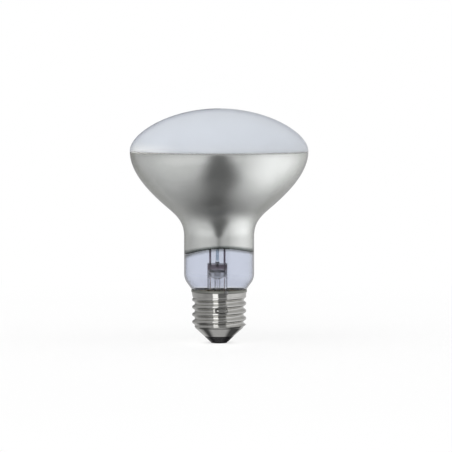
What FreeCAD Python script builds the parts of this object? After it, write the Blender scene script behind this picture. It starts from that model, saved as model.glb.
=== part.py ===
import FreeCAD, Part
import math
import os

# A mirrored reflector bulb with an Edison screw cap, in millimetres.
# The origin is the middle of the centre contact's face, and Z runs up the bulb to the top of the dome.
# The front, which shows the glass mount broad side on, faces -Y, and X runs to the right of it.

# Screw cap, a thin rolled shell with an E27 knuckle thread
CAP_HEIGHT = 26.0           # contact face to the rim of the shell
SHEET = 0.3                 # metal of the shell
ROOT_RADIUS = 11.9          # outside of the shell in the thread's grooves
THREAD_DEPTH = 1.3
PITCH = 3.629
THREAD_PHASE = 15.65        # height of a crest on the +X side
THREAD_RUN_OUT = 1.6        # rim down to the end of the helix, inside the flare
FADE_ANGLE = 52.0           # slope of the cone in which the lowest turn fades out, from the vertical
FADE_RISE = 0.35            # how far above the cone's corner that starts
GROOVE_BLEND = 0.3          # share of the groove's arc that is left to the plain shell
RIDGE_SINK = 0.05           # how deep the ridge's foot reaches into the plain shell
RIM_FLARE = 1.65            # how much wider the flared rim is than the grooves
FLARE_HEIGHT = 6.0          # rim down to where the flare meets the straight shell
FLARE_LIP = 0.35            # how much the flare draws in below the rim
CONE_TOP = 7.9              # corner between the straight shell and the cone
CONE_ANGLE = 45.5           # slope of the cone, from the vertical
CONE_ROUNDING = 1.3
LIP_HEIGHT = 3.4            # where the shell's cone ends and the black glass shows

# Black glass insulator and the contact
TIP_HEIGHT = 0.6            # contact face to the flat end of the insulator
DISH_DEPTH = 1.6            # hollow in the insulator's top
DISH_RIM = 2.2              # width of the flat ring round the hollow
CONTACT_RADIUS = 4.0
CONTACT_ROUNDING = 0.3
EYELET_RADIUS = 1.7
EYELET_HEIGHT = 2.2
WIRE_HOLE_RADIUS = 1.1
SOLDER_RADIUS = 1.7         # solder on the contact, at its face
COUNTERSINK = 0.4
SOLDER_DEPTH = 1.5

# Glass bulb
GLASS = 0.9
BULB_RADIUS = 43.45
DOME_RISE = 20.8            # widest point to the top of the dome
BOWL_DEPTH = 27.45          # widest point down to the shoulder, where the outline turns outwards
SHOULDER_HEIGHT = 14.1      # shoulder down to the straight neck
SHOULDER_FLARE = 8.2        # how much wider the shoulder is than the neck
SHOULDER_ANGLE = 49.5       # slope of the outline at the shoulder, from the vertical
NECK_RADIUS = 17.05
NECK_LENGTH = 20.6          # corner of the taper up to the top of the straight neck
TAPER_ANGLE = 36.0          # cone between the neck and the cap, from the vertical
TAPER_ROUNDING = 7.5
SKIRT_ROUNDING = 2.5
SEAT_CLEARANCE = 0.05       # between the glass and the rim of the shell
CEMENT_GAP = 0.7            # between the glass and the shell's grooves
SEAL_RISE = 5.6             # corner of the shell's cone up to the lower end of the glass

# Fullness of each stretch of the outline, as shares of its own width or height
DOME_FULLNESS = 0.5475
RIM_FULLNESS = 0.43
BOWL_RIM_FULLNESS = 0.3635
BOWL_FLANK_FULLNESS = 0.4532
SHOULDER_FULLNESS = 0.438
NECK_FULLNESS = 0.506

# Films inside the glass
COATING = 0.12              # mirror and diffuser, far thicker than a real film
WINDOW_HEIGHT = 17.45       # rim of the cap up to the mirror's edge at the sides of the neck
WINDOW_ARCH = 3.3           # how much higher the mirror's edge is at the front and back
WINDOW_TILT = 1.15          # how much higher it is on the right than on the left

# Basing cement
CEMENT_RISE = 2.0           # lower end of the glass up to the cement
CEMENT_RECESS = 0.9         # below the rim of the shell

# Glass mount, a little off the bulb's axis
MOUNT_OFFSET = -0.85
TUBE_RADIUS = 4.85
TUBE_WALL = 0.9
FLARE_RIM = 0.9             # thickness of the flare's rim, under the lower end of the bulb
SKIRT_HEIGHT = 6.5          # lower end of the glass up to the straight tube
SKIRT_WAIST = 0.45          # share of the skirt's height where it turns from rim to tube
WAIST_WIDTH = 0.243         # share of the rim's reach past the tube that is left there
PRESS_RISE = 12.8           # rim of the cap up to the top of the press
PRESS_HEIGHT = 4.4
PRESS_THICKNESS = 4.2
PRESS_SHOULDER = 3.0        # height over which the round tube turns into the flat press
BORE_RISE = 1.1             # how far the tube's flattened bore reaches into the press
EXHAUST_RADIUS = 1.45
EXHAUST_BORE = 0.85
EXHAUST_EMBED = 1.2         # how far the exhaust tube reaches into the press
EXHAUST_TAIL = 1.9          # sealed tip of the exhaust tube below the end of the glass
EXHAUST_TIP = 1.2           # height of its rounded tip
VENT_RADIUS = 0.6           # hole from the exhaust tube out to the bulb
ARBOR_RADIUS = 0.8
ARBOR_EMBED = 1.6
ARBOR_FOOT_RADIUS = 1.5
ARBOR_FOOT_HEIGHT = 2.6
BUTTON_RADIUS = 1.9

# Wires and filament
LEAD_SPACING = 7.0
WIRE_BEND = 0.5
INNER_LEAD_RADIUS = 0.5
INNER_LEAD_EMBED = 1.0
INNER_LEAD_BEND = 6.0
SEAL_WIRE_RADIUS = 0.3
SEAL_WIRE_LENGTH = 3.0
OUTER_LEAD_RADIUS = 0.22
LEAD_DROP = 1.4             # flare's rim down to the side lead's turn
LEAD_CLEARANCE = 0.1        # between the side lead and the glass
LEAD_TAIL = 0.75            # side lead past the rim
FILAMENT_RISE = 14.9        # top of the straight neck up to the filament
FILAMENT_RADIUS = 9.0       # of the half ring that the filament makes
COIL_RADIUS = 0.42
BUTTON_DROP = 10.3          # filament down to the glass button
LEAD_KNEE = 16.0            # filament down to where the inner leads spread
SUPPORT_RADIUS = 0.18
SUPPORT_CLEARANCE = 0.05
SUPPORT_EMBED = 1.1         # how deep a support sits in the button
SUPPORT_BEARINGS = (45.0, 90.0, 135.0)
HOOK_DROP = 1.5             # filament down to the bend below a support's hook
SIDE_BEARING = -75.0        # where the side lead crosses the rim
NOTCH_WIDTH = 0.8
NOTCH_DEPTH = 1.5
SIDE_SOLDER_RADIUS = 1.05

# Heights and radii that follow from the sizes above
SLOPE = math.radians(TAPER_ANGLE)
SHELL_INNER = ROOT_RADIUS - SHEET
CREST_RADIUS = ROOT_RADIUS + THREAD_DEPTH
RIM_RADIUS = ROOT_RADIUS + RIM_FLARE
SEAT_RADIUS = RIM_RADIUS - SHEET - SEAT_CLEARANCE
SEAL_RADIUS = SHELL_INNER - CEMENT_GAP
SEAL_HEIGHT = CONE_TOP + SEAL_RISE
TAPER_TOP = CAP_HEIGHT + (NECK_RADIUS - SEAT_RADIUS) / math.tan(SLOPE)
TAPER_BOTTOM = CAP_HEIGHT - (SEAT_RADIUS - SEAL_RADIUS) / math.tan(SLOPE)
NECK_TOP = TAPER_TOP + NECK_LENGTH
SHOULDER = NECK_TOP + SHOULDER_HEIGHT
SHOULDER_RADIUS = NECK_RADIUS + SHOULDER_FLARE
EQUATOR = SHOULDER + BOWL_DEPTH
BULB_TOP = EQUATOR + DOME_RISE
WINDOW_EDGE = CAP_HEIGHT + WINDOW_HEIGHT
FLARE_BOTTOM = SEAL_HEIGHT - FLARE_RIM
SKIRT_TOP = SEAL_HEIGHT + SKIRT_HEIGHT
PRESS_TOP = CAP_HEIGHT + PRESS_RISE
PRESS_BOTTOM = PRESS_TOP - PRESS_HEIGHT
TUBE_TOP = PRESS_BOTTOM - PRESS_SHOULDER
TUBE_BORE = TUBE_RADIUS - TUBE_WALL
FLARE_MOUTH = SEAL_RADIUS - GLASS
WAIST_RADIUS = TUBE_RADIUS + (FLARE_MOUTH - TUBE_RADIUS) * WAIST_WIDTH
BORE_TOP = PRESS_BOTTOM + BORE_RISE
EXHAUST_TOP = PRESS_BOTTOM + EXHAUST_EMBED
EXHAUST_BOTTOM = SEAL_HEIGHT - EXHAUST_TAIL
SEAL_WIRE_TOP = PRESS_TOP - INNER_LEAD_EMBED
SEAL_WIRE_BOTTOM = SEAL_WIRE_TOP - SEAL_WIRE_LENGTH
FILAMENT_HEIGHT = NECK_TOP + FILAMENT_RISE
BUTTON_HEIGHT = FILAMENT_HEIGHT - BUTTON_DROP
LEAD_X = LEAD_SPACING / 2

ORIGIN = FreeCAD.Vector(0, 0, 0)
UP = FreeCAD.Vector(0, 0, 1)
TO_MOUNT = FreeCAD.Vector(MOUNT_OFFSET, 0, 0)
OVERSHOOT = 1.0             # how far a cutting tool runs past what it cuts


# Drawing


def at(radius, height):
    """A point of a turned outline."""
    return FreeCAD.Vector(radius, 0, height)


def around(radius, bearing, height):
    """A point at a radius and a bearing in degrees from +X."""
    turn = math.radians(bearing)
    return FreeCAD.Vector(radius * math.cos(turn), radius * math.sin(turn), height)


def lines(*points):
    """Straight edges through the points."""
    return [Part.LineSegment(a, b).toShape() for a, b in zip(points, points[1:])]


def smooth(start, start_handle, end_handle, end):
    """A cubic curve that leaves each end towards its handle."""
    curve = Part.BezierCurve()
    curve.setPoles([start, start_handle, end_handle, end])
    return curve.toShape()


def rounded(points, radius):
    """Edges through the points, with each inner corner turned by a tangent arc."""
    edges = []
    last = points[0]
    for before, corner, after in zip(points, points[1:], points[2:]):
        into = (corner - before).normalize()
        out = (after - corner).normalize()
        half_turn = into.getAngle(out) / 2
        cut = radius * math.tan(half_turn)
        start = corner - into * cut
        end = corner + out * cut
        middle = corner + (out - into).normalize() * (radius / math.cos(half_turn) - radius)
        edges += lines(last, start)
        edges.append(Part.Arc(start, middle, end).toShape())
        last = end
    return edges + lines(last, points[-1])


def first_point(edges):
    return edges[0].firstVertex().Point


def last_point(edges):
    return edges[-1].lastVertex().Point


def turned(edges):
    """The solid that a closed outline sweeps round the Z axis."""
    face = Part.Face(Part.Wire(Part.__sortEdges__(edges)))
    return face.revolve(ORIGIN, UP, 360)


def between(outer, inner):
    """Closes an outer and an inner run of edges, both from the top down, into one outline."""
    top = lines(first_point(inner), first_point(outer))
    bottom = lines(last_point(outer), last_point(inner))
    return outer + bottom + inner + top


def filled(edges):
    """Closes a run of edges, from the top down, to the Z axis."""
    top = first_point(edges)
    bottom = last_point(edges)
    corners = [bottom, at(0, bottom.z), at(0, top.z), top]
    if bottom.x == 0:
        corners.pop(0)
    if top.x == 0:
        corners.pop()
    return edges + lines(*corners)


def cylinder(radius, bottom, top):
    return Part.makeCylinder(radius, top - bottom, at(0, bottom))


def wire_along(points, radius, bend):
    """A round wire through the points with rounded corners."""
    path = Part.Wire(rounded(points, bend))
    heading = points[1] - points[0]
    section = Part.Wire(Part.makeCircle(radius, points[0], heading).Edges)
    return path.makePipeShell([section], True, False)


def on_mount(shape):
    """Moves a piece from the bulb's axis to the mount's."""
    return shape.translated(TO_MOUNT)


# Outline of the glass, moved in from its outside by an inset


def dome_edge(inset):
    width = BULB_RADIUS - inset
    rise = DOME_RISE - inset
    return smooth(
        at(0, EQUATOR + rise),
        at(width * DOME_FULLNESS, EQUATOR + rise),
        at(width, EQUATOR + rise * RIM_FULLNESS),
        at(width, EQUATOR),
    )


def shoulder_point(inset):
    """The point where the outline turns outwards, and the direction in which it passes, downwards."""
    slope = math.radians(SHOULDER_ANGLE)
    point = at(SHOULDER_RADIUS - inset * math.cos(slope), SHOULDER + inset * math.sin(slope))
    return point, at(-math.sin(slope), -math.cos(slope))


def bowl_edge(inset):
    width = BULB_RADIUS - inset
    shoulder, heading = shoulder_point(inset)
    depth = EQUATOR - shoulder.z
    return smooth(
        at(width, EQUATOR),
        at(width, EQUATOR - depth * BOWL_RIM_FULLNESS),
        shoulder - heading * (depth * BOWL_FLANK_FULLNESS),
        shoulder,
    )


def shoulder_edge(inset):
    shoulder, heading = shoulder_point(inset)
    drop = shoulder.z - NECK_TOP
    neck = NECK_RADIUS - inset
    return smooth(
        shoulder,
        shoulder + heading * (drop * SHOULDER_FULLNESS),
        at(neck, NECK_TOP + drop * NECK_FULLNESS),
        at(neck, NECK_TOP),
    )


def neck_edges(inset):
    """The straight neck, the rounded taper and the skirt inside the cap, down to the seal."""
    rise = inset * math.tan(SLOPE / 2)
    neck = NECK_RADIUS - inset
    skirt = SEAL_RADIUS - inset
    corner = at(neck, TAPER_TOP + rise)
    skirt_corner = at(skirt, TAPER_BOTTOM + rise)
    middle = (corner + skirt_corner) * 0.5
    taper = rounded([at(neck, NECK_TOP), corner, middle], TAPER_ROUNDING - inset)
    return taper + rounded([middle, skirt_corner, at(skirt, SEAL_HEIGHT)], SKIRT_ROUNDING + inset)


def glass_edges(inset):
    return [dome_edge(inset), bowl_edge(inset), shoulder_edge(inset)] + neck_edges(inset)


def glass_outside():
    """The neck and skirt filled to the axis, for what lies against them."""
    return turned(filled(neck_edges(0)))


def envelope():
    """The blown glass bulb, hollow, and open only at the seal."""
    return turned(between(glass_edges(0), glass_edges(GLASS)))


def face_diffuser():
    """The pale film inside the dome."""
    return turned(between([dome_edge(GLASS)], [dome_edge(GLASS + COATING)]))


def window_tool():
    """What clears the mirror from the lower neck: a block with an arched and slightly tilted top."""
    tilt = WINDOW_TILT / 2
    left = FreeCAD.Vector(-NECK_RADIUS, -NECK_RADIUS, WINDOW_EDGE - tilt)
    right = FreeCAD.Vector(NECK_RADIUS, -NECK_RADIUS, WINDOW_EDGE + tilt)
    crown = FreeCAD.Vector(0, -NECK_RADIUS, WINDOW_EDGE + WINDOW_ARCH)
    below_left = FreeCAD.Vector(-NECK_RADIUS, -NECK_RADIUS, CAP_HEIGHT)
    below_right = FreeCAD.Vector(NECK_RADIUS, -NECK_RADIUS, CAP_HEIGHT)
    edges = [Part.Arc(left, crown, right).toShape()] + lines(right, below_right, below_left, left)
    return Part.Face(Part.Wire(edges)).extrude(FreeCAD.Vector(0, 2 * NECK_RADIUS, 0))


def mirror_edges(inset):
    neck = NECK_RADIUS - inset
    lowest = WINDOW_EDGE - WINDOW_TILT
    return [bowl_edge(inset), shoulder_edge(inset)] + lines(at(neck, NECK_TOP), at(neck, lowest))


def reflector_coating():
    """The mirror inside the bowl and the upper neck."""
    film = turned(between(mirror_edges(GLASS), mirror_edges(GLASS + COATING)))
    return film.cut(window_tool())


# Screw cap


def shell_edges(inset):
    """The shell's outline without its thread, from the rim down to the lip: flare, wall, corner, cone."""
    slope = math.radians(CONE_ANGLE)
    wall = ROOT_RADIUS - inset
    rim = RIM_RADIUS - inset
    middle = CAP_HEIGHT - FLARE_HEIGHT / 2
    flare_bottom = at(wall, CAP_HEIGHT - FLARE_HEIGHT)
    flare = smooth(at(rim, CAP_HEIGHT), at(rim - FLARE_LIP, middle), at(wall, middle), flare_bottom)
    corner = at(wall, CONE_TOP + inset * math.tan(slope / 2))
    lip = at(wall - (corner.z - LIP_HEIGHT) * math.tan(slope), LIP_HEIGHT)
    return [flare] + rounded([flare_bottom, corner, lip], CONE_ROUNDING - inset)


def ridge(inset):
    """The thread's ridge, with crest and grooves rounded alike, swept along the helix."""
    turn = 2 * math.atan(2 * THREAD_DEPTH / PITCH)
    arc = THREAD_DEPTH / (2 * (1 - math.cos(turn)))
    crest_arc = arc - inset
    crest_middle = CREST_RADIUS - arc
    groove_arc = arc + inset
    groove_middle = ROOT_RADIUS + arc
    foot_turn = turn * GROOVE_BLEND
    core = ROOT_RADIUS - inset - RIDGE_SINK
    turns_below = math.floor((THREAD_PHASE - CONE_TOP) / PITCH) + 2
    start = THREAD_PHASE - turns_below * PITCH

    def flank(side, angle):
        """A point of the groove's arc, above the crest for side 1 and below it for side -1."""
        height = start + side * (PITCH / 2 - groove_arc * math.sin(angle))
        return at(groove_middle - groove_arc * math.cos(angle), height)

    def flank_arc(side):
        middle = flank(side, (turn + foot_turn) / 2)
        return Part.Arc(flank(side, turn), middle, flank(side, foot_turn)).toShape()

    def root(side):
        """Where the flank's last tangent runs into the wall of the shell."""
        foot = flank(side, foot_turn)
        return at(core, foot.z + side * (foot.x - core) / math.tan(foot_turn))

    crest = at(crest_middle + crest_arc, start)
    edges = [flank_arc(1), flank_arc(-1), Part.Arc(flank(-1, turn), crest, flank(1, turn)).toShape()]
    edges += lines(flank(1, foot_turn), root(1), root(-1), flank(-1, foot_turn))
    section = Part.Wire(Part.__sortEdges__(edges))
    helix = Part.makeHelix(PITCH, CAP_HEIGHT - THREAD_RUN_OUT - start, ROOT_RADIUS)
    helix.translate(at(0, start))
    return Part.Wire(helix.Edges).makePipeShell([section], True, True)


def thread_limit(inset):
    """What the ridge is trimmed to: all of its height up to the rim, and fading out above the cone."""
    slope = math.radians(FADE_ANGLE)
    low = CONE_TOP + FADE_RISE + inset * math.sin(slope)
    fade = at(ROOT_RADIUS - inset * math.cos(slope), low)
    reach = RIM_RADIUS - fade.x
    top = at(RIM_RADIUS, low + reach / math.tan(slope))
    bottom = at(ROOT_RADIUS - THREAD_DEPTH, low - (fade.x - ROOT_RADIUS + THREAD_DEPTH) / math.tan(slope))
    return turned(filled(lines(at(RIM_RADIUS, CAP_HEIGHT), top, bottom)))


def threaded_body(inset):
    """The shell's outside, or its inside where the inset is the sheet, filled to the axis."""
    return turned(filled(shell_edges(inset))).fuse(ridge(inset).common(thread_limit(inset)))


def notch_tool():
    """The slot in the rim that lets the side lead out."""
    tool = Part.makeBox(RIM_RADIUS, NOTCH_WIDTH, NOTCH_DEPTH + OVERSHOOT)
    tool.translate(FreeCAD.Vector(SEAL_RADIUS, -NOTCH_WIDTH / 2, CAP_HEIGHT - NOTCH_DEPTH))
    tool.rotate(ORIGIN, UP, SIDE_BEARING)
    return tool


def cap_shell():
    """The rolled metal shell with its helical thread, of one thickness all over."""
    return threaded_body(0).cut(threaded_body(SHEET)).cut(notch_tool())


def insulator_seat():
    """The shell's inside that the insulator fills, from the corner down to the lip."""
    return shell_edges(SHEET)[2:]


def cap_insulator():
    """The black glass in the cone of the shell, whose tip carries the cone on to the contact."""
    seat = insulator_seat()
    top = first_point(seat)
    lip = last_point(seat)
    outer_lip = last_point(shell_edges(0))
    tip = outer_lip.x - (LIP_HEIGHT - TIP_HEIGHT) * math.tan(math.radians(CONE_ANGLE))
    eyelet_top = TIP_HEIGHT + EYELET_HEIGHT
    dish = at(top.x - DISH_RIM, top.z)
    well = at(WIRE_HOLE_RADIUS, top.z - DISH_DEPTH)
    hollow = smooth(well, at((well.x + dish.x) / 2, well.z), at((well.x + dish.x) / 2, dish.z), dish)
    foot = lines(
        lip,
        outer_lip,
        at(tip, TIP_HEIGHT),
        at(EYELET_RADIUS, TIP_HEIGHT),
        at(EYELET_RADIUS, eyelet_top),
        at(WIRE_HOLE_RADIUS, eyelet_top),
        well,
    )
    return turned(seat + foot + [hollow] + lines(dish, top))


def centre_contact():
    """The contact plate, with the eyelet by which the insulator holds it."""
    eyelet_top = TIP_HEIGHT + EYELET_HEIGHT
    face = rounded(
        [at(SOLDER_RADIUS, 0), at(CONTACT_RADIUS, 0), at(CONTACT_RADIUS, TIP_HEIGHT)], CONTACT_ROUNDING
    )
    eyelet = lines(
        at(CONTACT_RADIUS, TIP_HEIGHT),
        at(EYELET_RADIUS, TIP_HEIGHT),
        at(EYELET_RADIUS, eyelet_top),
        at(WIRE_HOLE_RADIUS, eyelet_top),
        at(WIRE_HOLE_RADIUS, COUNTERSINK),
        at(SOLDER_RADIUS, 0),
    )
    return turned(face + eyelet)


def contact_solder(lead):
    """The solder in the eyelet, round the end of the centre lead."""
    fill = lines(
        at(WIRE_HOLE_RADIUS, SOLDER_DEPTH), at(WIRE_HOLE_RADIUS, COUNTERSINK), at(SOLDER_RADIUS, 0)
    )
    return turned(filled(fill)).cut(lead)


def side_solder(lead):
    """The bead that joins the side lead to the rim."""
    middle = around(RIM_RADIUS, SIDE_BEARING, CAP_HEIGHT - NOTCH_DEPTH / 2)
    bead = Part.makeSphere(SIDE_SOLDER_RADIUS, middle)
    shell = turned(filled(shell_edges(0)))
    return bead.cut(shell).cut(glass_outside()).cut(lead)


def basing_cement(lead):
    """The ring of cement that holds the glass in the shell."""
    band = cylinder(RIM_RADIUS, SEAL_HEIGHT + CEMENT_RISE, CAP_HEIGHT - CEMENT_RECESS)
    shell = turned(filled(shell_edges(SHEET)))
    return shell.common(band).cut(glass_outside()).cut(lead).cut(notch_tool())


# Glass mount, modelled on the bulb's axis and moved to its own


def skirt_loft(rim, waist, tube, bottom, top):
    """A flaring skirt from a rim on the bulb's axis to a tube on the mount's."""
    waist_height = bottom + (top - bottom) * SKIRT_WAIST
    circles = [
        Part.makeCircle(rim, at(-MOUNT_OFFSET, bottom)),
        Part.makeCircle(waist, at(0, waist_height)),
        Part.makeCircle(tube, at(0, top)),
    ]
    return Part.makeLoft([Part.Wire(circle) for circle in circles], True)


def flattened(radius, half_thickness, bottom, squeeze_top, top):
    """A round bar pressed flat between two slanting jaws, and straight above them."""
    jaw = [
        FreeCAD.Vector(-radius, -radius, bottom),
        FreeCAD.Vector(-radius, -half_thickness, squeeze_top),
        FreeCAD.Vector(-radius, -half_thickness, top),
        FreeCAD.Vector(-radius, half_thickness, top),
        FreeCAD.Vector(-radius, half_thickness, squeeze_top),
        FreeCAD.Vector(-radius, radius, bottom),
    ]
    block = Part.Face(Part.Wire(lines(*jaw, jaw[0]))).extrude(FreeCAD.Vector(2 * radius, 0, 0))
    return block.common(cylinder(radius, bottom, top))


def bore_wedge():
    """The end of the tube's bore, which the press closes to a line."""
    corners = [
        FreeCAD.Vector(-TUBE_BORE, -TUBE_BORE, TUBE_TOP),
        FreeCAD.Vector(-TUBE_BORE, 0, BORE_TOP),
        FreeCAD.Vector(-TUBE_BORE, TUBE_BORE, TUBE_TOP),
    ]
    block = Part.Face(Part.Wire(lines(*corners, corners[0]))).extrude(FreeCAD.Vector(2 * TUBE_BORE, 0, 0))
    return block.common(cylinder(TUBE_BORE, TUBE_TOP, BORE_TOP))


def vent():
    """The hole from the exhaust tube's bore out of the back of the press."""
    return Part.makeCylinder(VENT_RADIUS, TUBE_RADIUS, at(0, PRESS_BOTTOM), FreeCAD.Vector(0, 1, 0))


def lead_holes():
    """The room that the seal wires and inner leads take up in the press."""
    holes = []
    for side in (-1, 1):
        seal = cylinder(SEAL_WIRE_RADIUS, SEAL_WIRE_BOTTOM, SEAL_WIRE_TOP)
        inner = cylinder(INNER_LEAD_RADIUS, SEAL_WIRE_TOP, PRESS_TOP)
        holes += [seal.translated(at(side * LEAD_X, 0)), inner.translated(at(side * LEAD_X, 0))]
    return holes


def stem_flare():
    """The flare tube: a rim sealed to the bulb, a skirt, a round tube and the flat press."""
    rim = cylinder(SEAL_RADIUS, FLARE_BOTTOM, SEAL_HEIGHT).translated(at(-MOUNT_OFFSET, 0))
    skirt = skirt_loft(FLARE_MOUTH, WAIST_RADIUS, TUBE_RADIUS, SEAL_HEIGHT, SKIRT_TOP)
    tube = cylinder(TUBE_RADIUS, SKIRT_TOP, TUBE_TOP)
    press = flattened(TUBE_RADIUS, PRESS_THICKNESS / 2, TUBE_TOP, PRESS_BOTTOM, PRESS_TOP)
    bore_skirt = skirt_loft(FLARE_MOUTH, WAIST_RADIUS - TUBE_WALL, TUBE_BORE, FLARE_BOTTOM, SKIRT_TOP)
    bore = cylinder(TUBE_BORE, SKIRT_TOP, TUBE_TOP)
    glass = rim.fuse([skirt, tube, press])
    arbor = cylinder(ARBOR_RADIUS, PRESS_TOP - ARBOR_EMBED, PRESS_TOP)
    exhaust = cylinder(EXHAUST_RADIUS, TUBE_TOP, EXHAUST_TOP)
    return on_mount(glass.cut([bore_skirt, bore, bore_wedge(), exhaust, arbor, vent()] + lead_holes()))


def exhaust_tube():
    """The tube through which the bulb was emptied, melted shut at its lower end."""
    tip = EXHAUST_BOTTOM + EXHAUST_TIP
    outer = [
        *lines(at(EXHAUST_RADIUS, EXHAUST_TOP), at(EXHAUST_RADIUS, tip)),
        smooth(
            at(EXHAUST_RADIUS, tip),
            at(EXHAUST_RADIUS, EXHAUST_BOTTOM),
            at(EXHAUST_RADIUS / 2, EXHAUST_BOTTOM),
            at(0, EXHAUST_BOTTOM),
        ),
    ]
    bore_top = EXHAUST_TOP - (EXHAUST_RADIUS - EXHAUST_BORE) / 2
    bore = cylinder(EXHAUST_BORE, tip, bore_top)
    return on_mount(turned(filled(outer)).cut(bore).cut(vent()))


def arbor_rod(supports):
    """The glass rod that carries the supports in the button at its top."""
    half_button = math.sqrt(BUTTON_RADIUS**2 - ARBOR_RADIUS**2)
    foot_top = PRESS_TOP + ARBOR_FOOT_HEIGHT
    button = Part.Arc(
        at(0, BUTTON_HEIGHT + BUTTON_RADIUS),
        at(BUTTON_RADIUS, BUTTON_HEIGHT),
        at(ARBOR_RADIUS, BUTTON_HEIGHT - half_button),
    ).toShape()
    rod = lines(at(ARBOR_RADIUS, BUTTON_HEIGHT - half_button), at(ARBOR_RADIUS, foot_top))
    foot = smooth(
        at(ARBOR_RADIUS, foot_top),
        at(ARBOR_RADIUS, PRESS_TOP + ARBOR_FOOT_HEIGHT / 3),
        at(ARBOR_RADIUS, PRESS_TOP),
        at(ARBOR_FOOT_RADIUS, PRESS_TOP),
    )
    tail = lines(
        at(ARBOR_FOOT_RADIUS, PRESS_TOP),
        at(ARBOR_RADIUS, PRESS_TOP),
        at(ARBOR_RADIUS, PRESS_TOP - ARBOR_EMBED),
    )
    return on_mount(turned(filled([button] + rod + [foot] + tail))).cut(supports)


def inner_lead(side):
    """A thick lead from the press up to one end of the filament."""
    knee = FILAMENT_HEIGHT - LEAD_KNEE
    elbow = FILAMENT_HEIGHT - LEAD_KNEE / 4
    points = [
        at(side * LEAD_X, SEAL_WIRE_TOP),
        at(side * LEAD_X, knee),
        at(side * FILAMENT_RADIUS, elbow),
        at(side * FILAMENT_RADIUS, FILAMENT_HEIGHT + COIL_RADIUS + WIRE_BEND),
    ]
    return on_mount(wire_along(points, INNER_LEAD_RADIUS, INNER_LEAD_BEND))


def seal_wire(side):
    """The short wire that the press grips gas tight."""
    wire = cylinder(SEAL_WIRE_RADIUS, SEAL_WIRE_BOTTOM, SEAL_WIRE_TOP)
    return on_mount(wire.translated(at(side * LEAD_X, 0)))


def outer_lead_centre():
    """The copper lead from the left seal wire to the centre contact."""
    start = MOUNT_OFFSET - LEAD_X
    insulator_top = first_point(insulator_seat()).z
    end = SOLDER_DEPTH / 4
    points = [at(start, SEAL_WIRE_BOTTOM), at(start, FLARE_BOTTOM), at(0, insulator_top), at(0, end)]
    return wire_along(points, OUTER_LEAD_RADIUS, WIRE_BEND)


def outer_lead_side():
    """The copper lead from the right seal wire, round the end of the glass and out over the rim."""
    start = MOUNT_OFFSET + LEAD_X
    turn = FLARE_BOTTOM - LEAD_DROP
    away = OUTER_LEAD_RADIUS + LEAD_CLEARANCE
    channel = SEAL_RADIUS + CEMENT_GAP / 2
    exit_radius = SEAT_RADIUS + away * math.cos(SLOPE)
    exit_height = CAP_HEIGHT - away * math.sin(SLOPE)
    points = [
        at(start, SEAL_WIRE_BOTTOM),
        at(start, turn),
        around(channel, SIDE_BEARING, turn),
        around(channel, SIDE_BEARING, exit_height - (exit_radius - channel) / math.tan(SLOPE)),
        around(exit_radius, SIDE_BEARING, exit_height),
        around(RIM_RADIUS + LEAD_TAIL, SIDE_BEARING, exit_height),
    ]
    return wire_along(points, OUTER_LEAD_RADIUS, WIRE_BEND)


def filament():
    """The coiled filament's outer shape: half a ring round the back of the mount, between the leads."""
    end_turn = math.degrees(math.asin((INNER_LEAD_RADIUS + SUPPORT_CLEARANCE) / FILAMENT_RADIUS))
    start = around(FILAMENT_RADIUS, end_turn, FILAMENT_HEIGHT)
    heading = around(1, end_turn + 90, 0)
    section = Part.Face(Part.Wire(Part.makeCircle(COIL_RADIUS, start, heading)))
    return on_mount(section.revolve(ORIGIN, UP, 180 - 2 * end_turn))


def support_wire(bearing):
    """A thin wire from the button that hooks over the filament."""
    away = COIL_RADIUS + SUPPORT_RADIUS + SUPPORT_CLEARANCE
    points = [
        around(BUTTON_RADIUS - SUPPORT_EMBED, bearing, BUTTON_HEIGHT),
        around(FILAMENT_RADIUS + away, bearing, FILAMENT_HEIGHT - HOOK_DROP),
        around(FILAMENT_RADIUS + away, bearing, FILAMENT_HEIGHT + away),
        around(FILAMENT_RADIUS - COIL_RADIUS, bearing, FILAMENT_HEIGHT + away),
    ]
    return on_mount(wire_along(points, SUPPORT_RADIUS, WIRE_BEND))


def build():
    """Every piece of the bulb by name."""
    centre_lead = outer_lead_centre()
    side_lead = outer_lead_side()
    supports = [support_wire(bearing) for bearing in SUPPORT_BEARINGS]
    pieces = {
        "envelope": envelope(),
        "face_diffuser": face_diffuser(),
        "reflector_coating": reflector_coating(),
        "stem_flare": stem_flare(),
        "exhaust_tube": exhaust_tube(),
        "arbor_rod": arbor_rod(supports),
        "inner_lead_left": inner_lead(-1),
        "inner_lead_right": inner_lead(1),
        "seal_wire_left": seal_wire(-1),
        "seal_wire_right": seal_wire(1),
        "outer_lead_centre": centre_lead,
        "outer_lead_side": side_lead,
        "filament": filament(),
        "cap_shell": cap_shell(),
        "cap_insulator": cap_insulator(),
        "centre_contact": centre_contact(),
        "contact_solder": contact_solder(centre_lead),
        "side_solder": side_solder(side_lead),
        "basing_cement": basing_cement(side_lead),
    }
    for number, support in enumerate(supports, 1):
        pieces[f"support_wire_{number}"] = support
    return pieces


os.makedirs("parts", exist_ok=True)
for name, shape in build().items():
    shape.exportStep(f"parts/{name}.step")
    print(name, "valid", shape.isValid(), "solids", len(shape.Solids), "volume", round(shape.Volume, 2))
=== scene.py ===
import math

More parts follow.
